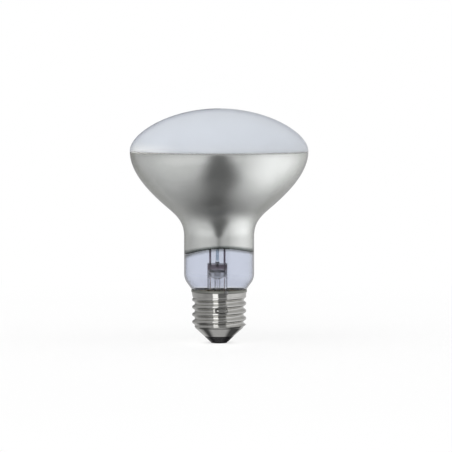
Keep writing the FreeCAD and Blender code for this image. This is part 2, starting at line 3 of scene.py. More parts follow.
import bmesh
import bpy
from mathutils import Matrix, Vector


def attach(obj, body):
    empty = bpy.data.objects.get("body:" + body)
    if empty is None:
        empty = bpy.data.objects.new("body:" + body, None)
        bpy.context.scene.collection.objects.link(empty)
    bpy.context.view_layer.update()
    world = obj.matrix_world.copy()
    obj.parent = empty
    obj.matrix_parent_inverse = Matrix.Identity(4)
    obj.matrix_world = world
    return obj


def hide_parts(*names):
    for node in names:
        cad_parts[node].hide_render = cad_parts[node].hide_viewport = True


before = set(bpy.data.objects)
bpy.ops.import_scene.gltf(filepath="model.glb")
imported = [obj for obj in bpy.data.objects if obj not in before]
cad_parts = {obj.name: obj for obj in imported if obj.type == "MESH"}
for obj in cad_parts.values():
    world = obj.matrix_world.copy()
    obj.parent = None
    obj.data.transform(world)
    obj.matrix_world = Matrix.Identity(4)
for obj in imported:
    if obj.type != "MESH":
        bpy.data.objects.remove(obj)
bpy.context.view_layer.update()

# Reflector bulb. Sizes are in millimetres, and MM turns them into metres.
# The front faces -Y, X runs to the right and Z up from the centre contact's face.
MM = 0.001

# Glass outline
GLASS = 0.9
BULB_RADIUS = 43.45
DOME_RISE = 20.8
BOWL_DEPTH = 27.45
SHOULDER_HEIGHT = 14.1
SHOULDER_FLARE = 8.2
SHOULDER_ANGLE = math.radians(49.5)
NECK_RADIUS = 17.05
NECK_LENGTH = 20.6
TAPER_ANGLE = math.radians(36)
TAPER_ROUNDING = 7.5
SKIRT_ROUNDING = 2.5

# Lengths of that outline's handles, as shares of the radius, rise, depth or height that they round
DOME_FULLNESS = 0.5475
RIM_FULLNESS = 0.43
BOWL_RIM_FULLNESS = 0.3635
BOWL_FLANK_FULLNESS = 0.4532
SHOULDER_FULLNESS = 0.438
NECK_FULLNESS = 0.506

# Films inside the glass
FILM = 0.1
FILM_BITE = 0.02  # how far a film's outer face lies in the glass, so that no air parts them
WINDOW_HEIGHT = 17.45  # rim of the cap up to the mirror's edge at the sides of the neck
WINDOW_ARCH = 3.3
WINDOW_TILT = 1.15

# Screw cap
CAP_HEIGHT = 26.0
SHEET = 0.3
ROOT_RADIUS = 11.9
RIM_FLARE = 1.65
FLARE_HEIGHT = 5.2
FLARE_STEP = 3.5  # rim down to where the flare turns in to the thread
FLARE_LIP = 0.6  # how much narrower it is there
FLARE_ROUNDING = 0.7
HEM_HEIGHT = 1.0  # the rolled hem at the rim
HEM_STEP = 0.14  # how far the sheet steps in under it
HEM_ROUNDING = 0.1
CONE_TOP = 7.9
CONE_ANGLE = math.radians(45.5)
CONE_ROUNDING = 1.3
CONE_SHOULDER = 7.5  # where the finished shell turns in to the cone, a little lower than in the frame
LIP_HEIGHT = 3.4
CONTACT_RADIUS = 4.0
THREAD_DEPTH = 1.3
PITCH = 3.629
THREAD_PHASE = 15.65  # height of a crest on the +X side
FADE_ANGLE = math.radians(52)  # slope at which the thread runs out
FADE_RISE = 0.35  # the cone's shoulder up to where it has run out
CEMENT_GAP = 0.7
SEAT_CLEARANCE = 0.05
SEAL_RISE = 5.6  # the cone's top up to the lower end of the glass
SIDE_BEARING = math.radians(-75)  # the side lead's notch in the rim
NOTCH_WIDTH = 0.8
NOTCH_DEPTH = 1.5
CRIMP_BEARING = math.radians(-85)
CRIMP_HEIGHT = 16.4
CRIMP_WIDTH = 3.0  # half of the punched mark's width round the shell
CRIMP_REACH = 1.25  # half of its height
CRIMP_DEPTH = 0.28  # less than the sheet, which lies on the cement
CRIMP_PRESS = 0.85  # share of the thread's height that it presses flat
CRIMP_STEEPNESS = 2.4

# Filament, wound round the mount's axis, and the press under it
MOUNT_OFFSET = -0.85
FILAMENT_RISE = 14.9
FILAMENT_RADIUS = 9.0
COIL_RADIUS = 0.42
FILAMENT_WIRE = 0.055
FILAMENT_TURNS = 130
LEAD_REACH = 0.55  # from a lead's middle to the end of the coil
PRESS_RISE = 12.8  # rim of the cap up to the press's top
PRESS_HEIGHT = 4.4

# Mesh density
GLASS_ROW = 0.8
GLASS_STEPS = 144
SHELL_ROW = 0.12
SHELL_STEPS = 180
SMOOTH_STEPS = 32  # steps of each curved stretch before it is divided evenly
COIL_STEPS = 10
WIRE_SIDES = 6
MERGE_DISTANCE = 0.001
LINE_STRETCHES = 4  # stretches in the filament's half ring

# Heights and radii that follow from the sizes above
RIM_RADIUS = ROOT_RADIUS + RIM_FLARE
SEAT_RADIUS = RIM_RADIUS - SHEET - SEAT_CLEARANCE
SEAL_RADIUS = ROOT_RADIUS - SHEET - CEMENT_GAP
SEAL_HEIGHT = CONE_TOP + SEAL_RISE
TAPER_TOP = CAP_HEIGHT + (NECK_RADIUS - SEAT_RADIUS) / math.tan(TAPER_ANGLE)
TAPER_BOTTOM = CAP_HEIGHT - (SEAT_RADIUS - SEAL_RADIUS) / math.tan(TAPER_ANGLE)
NECK_TOP = TAPER_TOP + NECK_LENGTH
SHOULDER = NECK_TOP + SHOULDER_HEIGHT
EQUATOR = SHOULDER + BOWL_DEPTH
WINDOW_EDGE = CAP_HEIGHT + WINDOW_HEIGHT
WINDOW_CROWN = WINDOW_EDGE + WINDOW_ARCH
WINDOW_LOWEST = WINDOW_EDGE - WINDOW_TILT
FILAMENT_HEIGHT = NECK_TOP + FILAMENT_RISE
PRESS_TOP = CAP_HEIGHT + PRESS_RISE
PRESS_MIDDLE = PRESS_TOP - PRESS_HEIGHT / 2


# Outlines, each a list of cubic stretches (start, handle, handle, end) from the top down


def at(radius, height):
    return Vector((radius, 0, height))


def straight(start, end):
    return [(start, start.lerp(end, 1 / 3), start.lerp(end, 2 / 3), end)]


def arc_handle(radius, turn):
    """Length of the handles that make a cubic stretch follow an arc."""
    return radius * math.tan(turn / 4) * 4 / 3


def rounded(points, radius):
    """Straight stretches through the points, with each inner corner turned by a tangent arc."""
    stretches = []
    last = points[0]
    for before, corner, after in zip(points, points[1:], points[2:]):
        into = (corner - before).normalized()
        out = (after - corner).normalized()
        turn = into.angle(out)
        cut = radius * math.tan(turn / 2)
        handle = arc_handle(radius, turn)
        start = corner - into * cut
        end = corner + out * cut
        stretches += straight(last, start)
        stretches.append((start, start + into * handle, end - out * handle, end))
        last = end
    return stretches + straight(last, points[-1])


def dome_outline():
    top = EQUATOR + DOME_RISE
    return [(
        at(0, top),
        at(BULB_RADIUS * DOME_FULLNESS, top),
        at(BULB_RADIUS, EQUATOR + DOME_RISE * RIM_FULLNESS),
        at(BULB_RADIUS, EQUATOR),
    )]


def bowl_outline():
    """From the widest ring down through the shoulder to the straight neck."""
    shoulder = at(NECK_RADIUS + SHOULDER_FLARE, SHOULDER)
    heading = at(-math.sin(SHOULDER_ANGLE), -math.cos(SHOULDER_ANGLE))
    bowl = (
        at(BULB_RADIUS, EQUATOR),
        at(BULB_RADIUS, EQUATOR - BOWL_DEPTH * BOWL_RIM_FULLNESS),
        shoulder - heading * BOWL_DEPTH * BOWL_FLANK_FULLNESS,
        shoulder,
    )
    flare = (
        shoulder,
        shoulder + heading * SHOULDER_HEIGHT * SHOULDER_FULLNESS,
        at(NECK_RADIUS, NECK_TOP + SHOULDER_HEIGHT * NECK_FULLNESS),
        at(NECK_RADIUS, NECK_TOP),
    )
    return [bowl, flare]


def neck_outline():
    corner = at(NECK_RADIUS, TAPER_TOP)
    skirt_corner = at(SEAL_RADIUS, TAPER_BOTTOM)
    middle = corner.lerp(skirt_corner, 0.5)
    taper = rounded([at(NECK_RADIUS, NECK_TOP), corner, middle], TAPER_ROUNDING)
    return taper + rounded([middle, skirt_corner, at(SEAL_RADIUS, SEAL_HEIGHT)], SKIRT_ROUNDING)


def shell_outline():
    """The screw shell without its thread, from the rim down to the lip."""
    hem = at(RIM_RADIUS, CAP_HEIGHT - HEM_HEIGHT)
    under_hem = at(RIM_RADIUS - HEM_STEP, CAP_HEIGHT - HEM_HEIGHT - HEM_STEP)
    step = at(RIM_RADIUS - FLARE_LIP, CAP_HEIGHT - FLARE_STEP)
    skirt = under_hem.lerp(step, 0.5)
    flare_bottom = at(ROOT_RADIUS, CAP_HEIGHT - FLARE_HEIGHT)
    shoulder = at(ROOT_RADIUS, CONE_SHOULDER)
    wall = flare_bottom.lerp(shoulder, 0.5)
    lip = at(ROOT_RADIUS - (CONE_TOP - LIP_HEIGHT) * math.tan(CONE_ANGLE), LIP_HEIGHT)
    rim = rounded([at(RIM_RADIUS, CAP_HEIGHT), hem, under_hem, skirt], HEM_ROUNDING)
    flare = rounded([skirt, step, flare_bottom, wall], FLARE_ROUNDING)
    return rim + flare + rounded([wall, shoulder, lip], CONE_ROUNDING)


def filament_line():
    """Half a ring round the back of the mount."""
    middle = Vector((MOUNT_OFFSET, 0, FILAMENT_HEIGHT))
    end_turn = math.asin(LEAD_REACH / FILAMENT_RADIUS)
    step = (math.pi - 2 * end_turn) / LINE_STRETCHES
    handle = arc_handle(FILAMENT_RADIUS, step)
    stretches = []
    for number in range(LINE_STRETCHES):
        ends = []
        for turn in (end_turn + number * step, end_turn + (number + 1) * step):
            out = Vector((math.cos(turn), math.sin(turn), 0))
            along = Vector((-math.sin(turn), math.cos(turn), 0))
            ends.append((middle + out * FILAMENT_RADIUS, along * handle))
        (start, leave), (end, arrive) = ends
        stretches.append((start, start + leave, end - arrive, end))
    return stretches


def in_scene(name, data):
    """An object of its own for a mesh, a curve, a lamp or a camera."""
    piece = bpy.data.objects.new(name, data)
    bpy.context.scene.collection.objects.link(piece)
    return piece


def curve_of(name, stretches):
    """A curve object along the stretches, in metres."""
    curve = bpy.data.curves.new(name, "CURVE")
    curve.dimensions = "3D"
    spline = curve.splines.new("BEZIER")
    spline.resolution_u = SMOOTH_STEPS
    points = spline.bezier_points
    points.add(len(stretches))
    for point in points:
        point.handle_left_type = "FREE"
        point.handle_right_type = "FREE"
    for number, (start, leave, arrive, end) in enumerate(stretches):
        points[number].co = start * MM
        points[number].handle_right = leave * MM
        points[number + 1].handle_left = arrive * MM
        points[number + 1].co = end * MM
    points[0].handle_left = points[0].co
    points[-1].handle_right = points[-1].co
    return in_scene(name, curve)


# Node trees, for shapes and for finishes alike


def add(tree, kind, inputs=None, **settings):
    """Adds a node, sets its properties, and sets or links its inputs by name or number."""
    node = tree.nodes.new(kind)
    for key, value in settings.items():
        setattr(node, key, value)
    for key, value in (inputs or {}).items():
        if isinstance(value, bpy.types.NodeSocket):
            tree.links.new(value, node.inputs[key])
        else:
            node.inputs[key].default_value = value
    return node


def made(tree, kind, inputs=None, **settings):
    """Adds a node and gives its first output."""
    return add(tree, kind, inputs, **settings).outputs[0]


def tree_of(*values):
    """The tree of the first socket among the values. What is worked out from them goes there too."""
    return next(value.id_data for value in values if isinstance(value, bpy.types.NodeSocket))


def calc(operation, *values, clamp=False):
    settings = {"operation": operation, "use_clamp": clamp}
    return made(tree_of(*values), "ShaderNodeMath", dict(enumerate(values)), **settings)


def total(first, *others):
    for value in others:
        first = calc("ADD", first, value)
    return first


def product(first, *others):
    for value in others:
        first = calc("MULTIPLY", first, value)
    return first


def less(first, second):
    return calc("SUBTRACT", first, second)


def over(first, second):
    return calc("DIVIDE", first, second)


def vector_calc(operation, *values):
    return made(tree_of(*values), "ShaderNodeVectorMath", dict(enumerate(values)), operation=operation)


def scaled(vector, size):
    return made(tree_of(vector), "ShaderNodeVectorMath", {0: vector, "Scale": size}, operation="SCALE")


def length(vector):
    return add(tree_of(vector), "ShaderNodeVectorMath", {0: vector}, operation="LENGTH").outputs["Value"]


def vector_of(**parts):
    return made(tree_of(*parts.values()), "ShaderNodeCombineXYZ", parts)


def axes_of(vector):
    return add(tree_of(vector), "ShaderNodeSeparateXYZ", {0: vector}).outputs


def level(axes):
    """The vector from the bulb's axis out to a place."""
    return vector_of(X=axes["X"], Y=axes["Y"])


def ramp(value, start, end, low=0.0, high=1.0, kind="SMOOTHSTEP"):
    """Goes from low to high while the value goes from start to end."""
    inputs = {"Value": value, "From Min": start, "From Max": end, "To Min": low, "To Max": high}
    return made(tree_of(value), "ShaderNodeMapRange", inputs, interpolation_type=kind)


def ramp_at(place, base, reach, low=0.0, high=1.0, kind="SMOOTHSTEP"):
    """The same for a place in metres, between two distances from a base that are in millimetres."""
    start, end = reach
    return ramp(place, (base + start) * MM, (base + end) * MM, low, high, kind)


def new_tree(name, kind, inputs, outputs):
    """A node group with named sockets, each given as (name, type, starting value)."""
    tree = bpy.data.node_groups.new(name, kind)
    for direction, sockets in (("INPUT", inputs), ("OUTPUT", outputs)):
        for label, kind_of_value, value in sockets:
            socket_type = "NodeSocket" + kind_of_value
            socket = tree.interface.new_socket(label, in_out=direction, socket_type=socket_type)
            if value is not None:
                socket.default_value = value
    return tree, tree.nodes.new("NodeGroupInput").outputs, tree.nodes.new("NodeGroupOutput").inputs


def shape_tree(name, sizes):
    """Starts a tree that makes a shape, with its sizes and its finish as inputs."""
    geometry = ("Geometry", "Geometry", None)
    inputs = [geometry, *sizes, ("Finish", "Material", None)]
    return new_tree(name, "GeometryNodeTree", inputs, [geometry])


def finish_shape(geometry, given, output):
    """Ends such a tree."""
    tree = tree_of(geometry)
    real = made(tree, "GeometryNodeRealizeInstances", {"Geometry": geometry})
    smooth = made(tree, "GeometryNodeSetShadeSmooth", {"Geometry": real})
    finished = made(tree, "GeometryNodeSetMaterial", {"Geometry": smooth, "Material": given["Finish"]})
    tree.links.new(finished, output["Geometry"])


def merged(geometry):
    inputs = {"Geometry": geometry, "Distance": MERGE_DISTANCE * MM}
    return made(tree_of(geometry), "GeometryNodeMergeByDistance", inputs)


def turning_tree():
    """Turns an outline in the XZ plane round the Z axis, moved in from its own place by an inset."""
    tree, given, output = shape_tree("turned outline", [
        ("Row Length", "Float", 0.001),
        ("Steps Around", "Int", 96),
        ("Inset", "Float", 0.0),
    ])
    rows = {"Curve": given["Geometry"], "Length": given["Row Length"]}
    even = made(tree, "GeometryNodeResampleCurve", rows, mode="LENGTH")
    spot = made(tree, "GeometryNodeInputPosition")
    tangent = axes_of(made(tree, "GeometryNodeInputTangent"))
    inwards = vector_of(X=tangent["Z"], Z=product(tangent["X"], -1.0))
    moved = vector_calc("ADD", spot, scaled(inwards, given["Inset"]))
    right_of_axis = (0.0, -1.0, -1.0)  # least X, and a Y and Z that nothing here is below
    kept = vector_calc("MAXIMUM", moved, right_of_axis)
    outline = made(tree, "GeometryNodeSetPosition", {"Geometry": even, "Position": kept})
    size = add(tree, "GeometryNodeAttributeDomainSize", {0: outline}, component="CURVE")
    count = size.outputs["Point Count"]
    columns = total(given["Steps Around"], 1.0)
    grid = made(tree, "GeometryNodeMeshGrid", {"Vertices X": columns, "Vertices Y": count})
    index = made(tree, "GeometryNodeInputIndex")
    row = calc("MODULO", index, count)
    column = calc("FLOOR", over(total(index, 0.5), count))
    sample = {0: outline, "Value": spot, "Index": row}
    point = made(tree, "GeometryNodeSampleIndex", sample, data_type="FLOAT_VECTOR")
    angle = product(over(column, given["Steps Around"]), 2 * math.pi)
    spun = made(tree, "ShaderNodeVectorRotate", {"Vector": point, "Angle": angle}, rotation_type="Z_AXIS")
    skin = made(tree, "GeometryNodeSetPosition", {"Geometry": grid, "Position": spun})
    outward = made(tree, "GeometryNodeFlipFaces", {"Mesh": merged(skin)})
    finish_shape(outward, given, output)
    return tree


def arched_edge(across, crown, arch, tilt):
    """Height of the mirror's free edge at a place across the neck, which runs from -1 to 1."""
    fall = product(across, across, arch)
    lean = product(across, tilt, 0.5)
    return total(less(crown, fall), lean)


def arched_edge_tree():
    """Draws the lower end of a turned film up or down to an edge that arches across the neck."""
    sizes = ("Upper Height", "Lower Height", "Crown Height", "Arch", "Tilt", "Radius")
    tree, given, output = shape_tree("arched edge", [(label, "Float", 1.0) for label in sizes])
    axes = axes_of(made(tree, "GeometryNodeInputPosition"))
    across = over(axes["X"], given["Radius"])
    edge = arched_edge(across, given["Crown Height"], given["Arch"], given["Tilt"])
    upper = given["Upper Height"]
    lower = given["Lower Height"]
    share = calc("DIVIDE", less(upper, axes["Z"]), less(upper, lower), clamp=True)
    move = product(less(edge, lower), share)
    inputs = {"Geometry": given["Geometry"], "Offset": vector_of(Z=move)}
    finish_shape(made(tree, "GeometryNodeSetPosition", inputs), given, output)
    return tree


def bearing_of(axes):
    return calc("ARCTAN2", axes["Y"], axes["X"])


def from_crimp(axes, root, bearing, height, width, reach):
    """How far a place lies from the crimp mark's middle, 1 on its oval edge, and how far above it."""
    beside = over(product(less(bearing_of(axes), bearing), root), width)
    above = over(less(axes["Z"], height), reach)
    return total(product(beside, beside), product(above, above)), above


def thread_tree():
    """Rolls a helical thread, the side lead's notch and a crimp mark into a turned shell."""
    sizes = (
        "Root Radius", "Pitch", "Depth", "Arc Radius", "Phase", "Fade Height", "Fade Slope", "Rim Height",
        "Notch Bearing", "Notch Width", "Notch Depth", "Crimp Bearing", "Crimp Height", "Crimp Width",
        "Crimp Reach", "Crimp Depth", "Crimp Press", "Crimp Steepness",
    )
    tree, given, output = shape_tree("rolled thread", [(label, "Float", 1.0) for label in sizes])
    axes = axes_of(made(tree, "GeometryNodeInputPosition"))
    bearing = bearing_of(axes)
    flat = level(axes)
    root = given["Root Radius"]

    climb = product(over(bearing, 2 * math.pi), given["Pitch"])
    turns = less(less(axes["Z"], given["Phase"]), climb)
    half_pitch = product(given["Pitch"], 0.5)
    from_crest = calc("PINGPONG", turns, half_pitch)
    from_groove = less(half_pitch, from_crest)
    arc = given["Arc Radius"]

    def rise(distance):
        """Height of an arc over its centre, at a distance from its middle."""
        left = less(product(arc, arc), product(distance, distance))
        return calc("SQRT", calc("MAXIMUM", left, 0.0))

    crest = total(less(given["Depth"], arc), rise(from_crest))
    groove = less(arc, rise(from_groove))
    on_crest = calc("LESS_THAN", from_crest, from_groove)
    blend = made(tree, "ShaderNodeMix", {"Factor": on_crest, "A": groove, "B": crest}, data_type="FLOAT")
    fade = product(less(axes["Z"], given["Fade Height"]), given["Fade Slope"])
    lift = calc("MINIMUM", blend, fade)
    already = less(length(flat), root)
    ridge = calc("MAXIMUM", less(lift, already), 0.0)

    crimp = [given["Crimp " + label] for label in ("Bearing", "Height", "Width", "Reach")]
    spread, _ = from_crimp(axes, root, *crimp)
    punched = calc("MULTIPLY", less(1.0, spread), given["Crimp Steepness"], clamp=True)
    pressed = product(punched, given["Crimp Press"], ridge)
    dent = total(product(punched, given["Crimp Depth"]), pressed)

    notch_turn = calc("ABSOLUTE", less(bearing, given["Notch Bearing"]))
    in_notch = calc("LESS_THAN", product(notch_turn, root), product(given["Notch Width"], 0.5))
    floor = less(given["Rim Height"], product(in_notch, given["Notch Depth"]))
    drop = less(calc("MINIMUM", axes["Z"], floor), axes["Z"])

    out = scaled(vector_calc("NORMALIZE", flat), less(ridge, dent))
    offset = vector_calc("ADD", out, vector_of(Z=drop))
    rolled = made(tree, "GeometryNodeSetPosition", {"Geometry": given["Geometry"], "Offset": offset})
    finish_shape(merged(rolled), given, output)
    return tree


def winding_tree():
    """Winds a wire in a helix along a level line."""
    tree, given, output = shape_tree("wound filament", [
        ("Turns", "Int", 10),
        ("Steps Per Turn", "Int", 12),
        ("Wire Sides", "Int", 6),
        ("Winding Radius", "Float", 0.001),
        ("Wire Radius", "Float", 0.0001),
    ])
    count = total(product(given["Turns"], given["Steps Per Turn"]), 1.0)
    steps = {"Curve": given["Geometry"], "Count": count}
    line = made(tree, "GeometryNodeResampleCurve", steps, mode="COUNT")
    upwards = (0.0, 0.0, 1.0)
    sideways = vector_calc("CROSS_PRODUCT", made(tree, "GeometryNodeInputTangent"), upwards)
    index = made(tree, "GeometryNodeInputIndex")
    angle = product(over(index, given["Steps Per Turn"]), 2 * math.pi)
    lift = product(calc("COSINE", angle), given["Winding Radius"])
    swing = product(calc("SINE", angle), given["Winding Radius"])
    offset = vector_calc("ADD", vector_of(Z=lift), scaled(sideways, swing))
    wound = made(tree, "GeometryNodeSetPosition", {"Geometry": line, "Offset": offset})
    circle = {"Resolution": given["Wire Sides"], "Radius": given["Wire Radius"]}
    section = made(tree, "GeometryNodeCurvePrimitiveCircle", circle)
    swept = {"Curve": wound, "Profile Curve": section, "Fill Caps": True}
    wire = made(tree, "GeometryNodeCurveToMesh", swept)
    finish_shape(wire, given, output)
    return tree


def shape_with(piece, tree, **values):
    """Puts a tree on a piece, with its inputs set by name."""
    modifier = piece.modifiers.new(tree.name, "NODES")
    modifier.node_group = tree
    sockets = {
        item.name: item.identifier
        for item in tree.interface.items_tree
        if item.item_type == "SOCKET" and item.in_out == "INPUT"
    }
    for label, value in values.items():
        modifier[sockets[label.replace("_", " ").title()]] = value


def plain_mesh(piece, name):
    """The piece as its modifiers leave it, as a mesh object of its own."""
    settled = piece.evaluated_get(bpy.context.evaluated_depsgraph_get())
    mesh = bpy.data.meshes.new_from_object(settled)
    mesh.name = name
    bpy.data.objects.remove(piece)
    return in_scene(name, mesh)


def walled(piece, thickness, name):
    """Gives a skin its wall, inwards."""
    skin = plain_mesh(piece, name + "_skin")
    wall = skin.modifiers.new("wall", "SOLIDIFY")
    wall.thickness = thickness * MM
    wall.offset = -1
    wall.use_even_offset = True
    return plain_mesh(skin, name)


def hand_over(piece, slot, *nodes):
    """Gives a finished piece to the frame, in place of its nodes."""
    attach(piece, "root")
    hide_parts(*nodes)
    return piece


# Colours as a shader reads them, a pair where a finish is mottled between two
LAVENDER = (0.765, 0.79, 0.86)
DEEP_LAVENDER = (0.50, 0.55, 0.73)
GLASS_AT_RIM = (0.96, 0.96, 0.94)
# Thinning metal under the mirror's edge, deepened by painted shade
THIN_METAL_AND_SHADE = (0.31, 0.32, 0.325)
ALUMINIUM = ((0.91, 0.90, 0.815), (0.95, 0.94, 0.855))
THINNED_ALUMINIUM = (0.60, 0.59, 0.54)
# Painted shade along the mirror's free edge
PAINTED_SHADE_ALUMINIUM = (0.18, 0.20, 0.18)
LEAD_GLASS = (0.97, 0.97, 0.975)
ROD_GLASS = (0.46, 0.54, 0.60)
SMOKED_GLASS = (0.14, 0.10, 0.12)
NICKEL = ((0.78, 0.775, 0.755), (0.71, 0.705, 0.68))
WORN_NICKEL = (0.58, 0.575, 0.55)
DULL_NICKEL = (0.49, 0.50, 0.46)
# Painted shade in the crimp mark
PAINTED_CRIMP_SHADE = (0.07, 0.07, 0.07)
POURED_GLASS = ((0.003, 0.003, 0.004), (0.009, 0.009, 0.010))
BRASS = ((0.80, 0.62, 0.30), (0.62, 0.46, 0.22))
# Painted shade on the contact's rim
PAINTED_CONTACT_SHADE = (0.03, 0.028, 0.03)

# Colours as a screen shows them, out of 255
DIFFUSER = ((229, 231, 231), (232, 234, 234))
# Painted glow that the diffuser's rim takes
PAINTED_GLOW_DIFFUSER = (255, 254, 249)
CEMENT = ((196, 186, 170), (160, 150, 134))

# Where a finish changes, in millimetres from the place that is named
EDGE_ON = (0.72, 0.95)  # how far the glass turns from the eye while its cast deepens, with no unit
RIM_FADE = (0.3, 0.9)  # over the cap's rim, the glass takes on its cast
THIN_METAL_SHADE_REACH = 2.1  # how far under the mirror's edge its thinning metal and painted shade reach, in the middle
THIN_METAL_SHADE_LEAN = 0.6  # how much further that goes at the left, and less far at the right
EDGE_SHADE_FROM = 0.5  # over the mirror's edge, its painted shade is full up to here
EDGE_SHADE_REACH = 1.9  # and gone from here on, in the middle of the neck
EDGE_SHADE_SIDES = 0.9  # how much higher that is at its sides
MIRROR_SEAM = (-1.0, -0.3)  # from the widest ring, the mirror gets thinner
GLOW_SEAM = (0.5, 5.0)  # from the widest ring, the diffuser's painted glow fades out
GLOW_SIDE = (-38, -14)  # from the axis, the diffuser's painted glow on the left
GLOW_CLOUDS = 0.3  # strength of the painted glow's clouds elsewhere along the seam
BAR_BOTTOM = (-2.6, 0.2)  # from the press's middle, its dark bar
BAR_TOP = (-0.8, 0.2)  # from the press's top
ROD_FADE = (0.0, 2.0)  # from the press's top, up into the rod
PINCH_FADE = (-6.0, -3.5)  # from the press's middle, up into the frosted glass
HEM_FADE = (-0.1, 0.05)  # from the hem's lower edge, up into its dull band
CRIMP_WALL = 0.9  # where the crimp mark's wall lies, 1 being its oval edge
CRIMP_SHADE_SPREAD = 0.7  # how far the painted shade spreads from that wall, in the same measure
CONTACT_SHADE_FADE = (-0.8, -0.3)  # from the contact's edge, painted shade darkens it
CONTACT_SHADE_WANDER = 0.3  # how far that edge wanders
NOISE_RANGE = (0.3, 0.7)  # what a noise mostly gives
MARK_RANGE = (0.48, 0.68)  # where a noise turns into a fine mark


# Finishes


def linear(colour):
    """A colour as a screen shows it, as the shader reads it."""
    def channel(value):
        share = value / 255
        return share / 12.92 if share <= 0.04045 else ((share + 0.055) / 1.055) ** 2.4
    return tuple(channel(value) for value in colour)


def cleared_tree(owner):
    """The empty node tree of a material or the world."""
    owner.use_nodes = True
    owner.node_tree.nodes.clear()
    return owner.node_tree


def object_place(tree):
    return tree.nodes.new("ShaderNodeTexCoord").outputs["Object"]


def finish(name, **sockets):
    """A material, its shader and the piece's own coordinates."""
    material = bpy.data.materials.new(name)
    tree = cleared_tree(material)
    inputs = {key.replace("_", " "): value for key, value in sockets.items()}
    shader = add(tree, "ShaderNodeBsdfPrincipled", inputs)
    add(tree, "ShaderNodeOutputMaterial", {"Surface": shader.outputs[0]})
    return material, shader, object_place(tree)


def mottle_group():
    """Slow, uneven change over a surface, as a value between two ends."""
    tree, given, output = new_tree("mottle", "ShaderNodeTree", [
        ("Vector", "Vector", None),
        ("Scale", "Float", 100.0),
        ("Detail", "Float", 3.0),
        ("Low", "Float", 0.0),
        ("High", "Float", 1.0),
    ], [("Value", "Float", None)])
    inputs = {label: given[label] for label in ("Vector", "Scale", "Detail")}
    noise = made(tree, "ShaderNodeTexNoise", {**inputs, "Roughness": 0.6})
    value = ramp(noise, *NOISE_RANGE, given["Low"], given["High"], "LINEAR")
    tree.links.new(value, output["Value"])
    return tree


def marks_group():
    """Fine marks that run round the piece, as a mask and a height."""
    tree, given, output = new_tree("fine marks", "ShaderNodeTree", [
        ("Vector", "Vector", None),
        ("Scale", "Float", 400.0),
        ("Stretch", "Float", 8.0),
        ("Amount", "Float", 0.5),
    ], [("Mask", "Float", None), ("Height", "Float", None)])
    axes = axes_of(given["Vector"])
    drawn = vector_of(X=axes["X"], Y=axes["Y"], Z=product(axes["Z"], given["Stretch"]))
    inputs = {"Vector": drawn, "Scale": given["Scale"], "Detail": 6.0, "Roughness": 0.7}
    noise = made(tree, "ShaderNodeTexNoise", inputs)
    sharp = ramp(noise, *MARK_RANGE, kind="LINEAR")
    mask = calc("MULTIPLY", sharp, given["Amount"], clamp=True)
    tree.links.new(mask, output["Mask"])
    tree.links.new(noise, output["Height"])
    return tree


MOTTLE = mottle_group()
MARKS = marks_group()


def mottled(vector, scale, low=0.0, high=1.0, detail=3.0):
    inputs = {"Vector": vector, "Scale": scale, "Detail": detail, "Low": low, "High": high}
    return add(tree_of(vector), "ShaderNodeGroup", inputs, node_tree=MOTTLE).outputs["Value"]


def marked(vector, scale, stretch, amount):
    inputs = {"Vector": vector, "Scale": scale, "Stretch": stretch, "Amount": amount}
    outputs = add(tree_of(vector), "ShaderNodeGroup", inputs, node_tree=MARKS).outputs
    return outputs["Mask"], outputs["Height"]


def tinted(factor, first, second):
    """A colour between two, by a factor. Each is a colour, or a socket that gives one."""
    inputs = {"Factor": factor}
    for label, colour in (("A", first), ("B", second)):
        inputs[label] = colour if isinstance(colour, bpy.types.NodeSocket) else (*colour, 1)
    return add(tree_of(factor), "ShaderNodeMix", inputs, data_type="RGBA").outputs["Result"]


def cloudy(where, scale, colours):
    """A colour that is mottled between two."""
    return tinted(mottled(where, scale), *colours)


def feed(shader, **sockets):
    """Links what changes over the surface to the shader."""
    for label, value in sockets.items():
        shader.id_data.links.new(value, shader.inputs[label.replace("_", " ")])


def bumped(shader, height, relief):
    """Relief of a given depth, in millimetres."""
    inputs = {"Height": height, "Distance": relief * MM, "Strength": 1.0}
    feed(shader, Normal=made(tree_of(height), "ShaderNodeBump", inputs))


def uneven(shader, where, scale, relief, detail=3.0):
    bumped(shader, mottled(where, scale, detail=detail), relief)


def over_mirror_edge(axes):
    """Height over the mirror's arched edge, and the place across the neck from -1 to 1."""
    across = over(axes["X"], NECK_RADIUS * MM)
    edge = arched_edge(across, WINDOW_CROWN * MM, WINDOW_ARCH * MM, WINDOW_TILT * MM)
    return less(axes["Z"], edge), across


def clear_glass():
    """Soft glass with a faint lavender cast, deeper edge on, and the slow ripple of a blown wall."""
    material, shader, where = finish("clear_glass", Roughness=0.0, IOR=1.5, Transmission_Weight=1.0)
    facing = add(material.node_tree, "ShaderNodeLayerWeight", {"Blend": 0.5}).outputs["Facing"]
    cast = tinted(ramp(facing, *EDGE_ON), LAVENDER, DEEP_LAVENDER)
    axes = axes_of(where)
    above, across = over_mirror_edge(axes)
    # Under the mirror's edge: thinning metal with painted shade, reaching further on the left
    reach = less(product(across, THIN_METAL_SHADE_LEAN * MM), THIN_METAL_SHADE_REACH * MM)
    thin_metal_and_shade = product(ramp(above, reach, 0.0), calc("LESS_THAN", above, 0.0))
    cast = tinted(thin_metal_and_shade, cast, THIN_METAL_AND_SHADE)
    above_rim = ramp_at(axes["Z"], CAP_HEIGHT, RIM_FADE, kind="LINEAR")
    feed(shader, Base_Color=tinted(above_rim, GLASS_AT_RIM, cast))
    uneven(shader, where, scale=45, relief=0.06, detail=0)
    return material


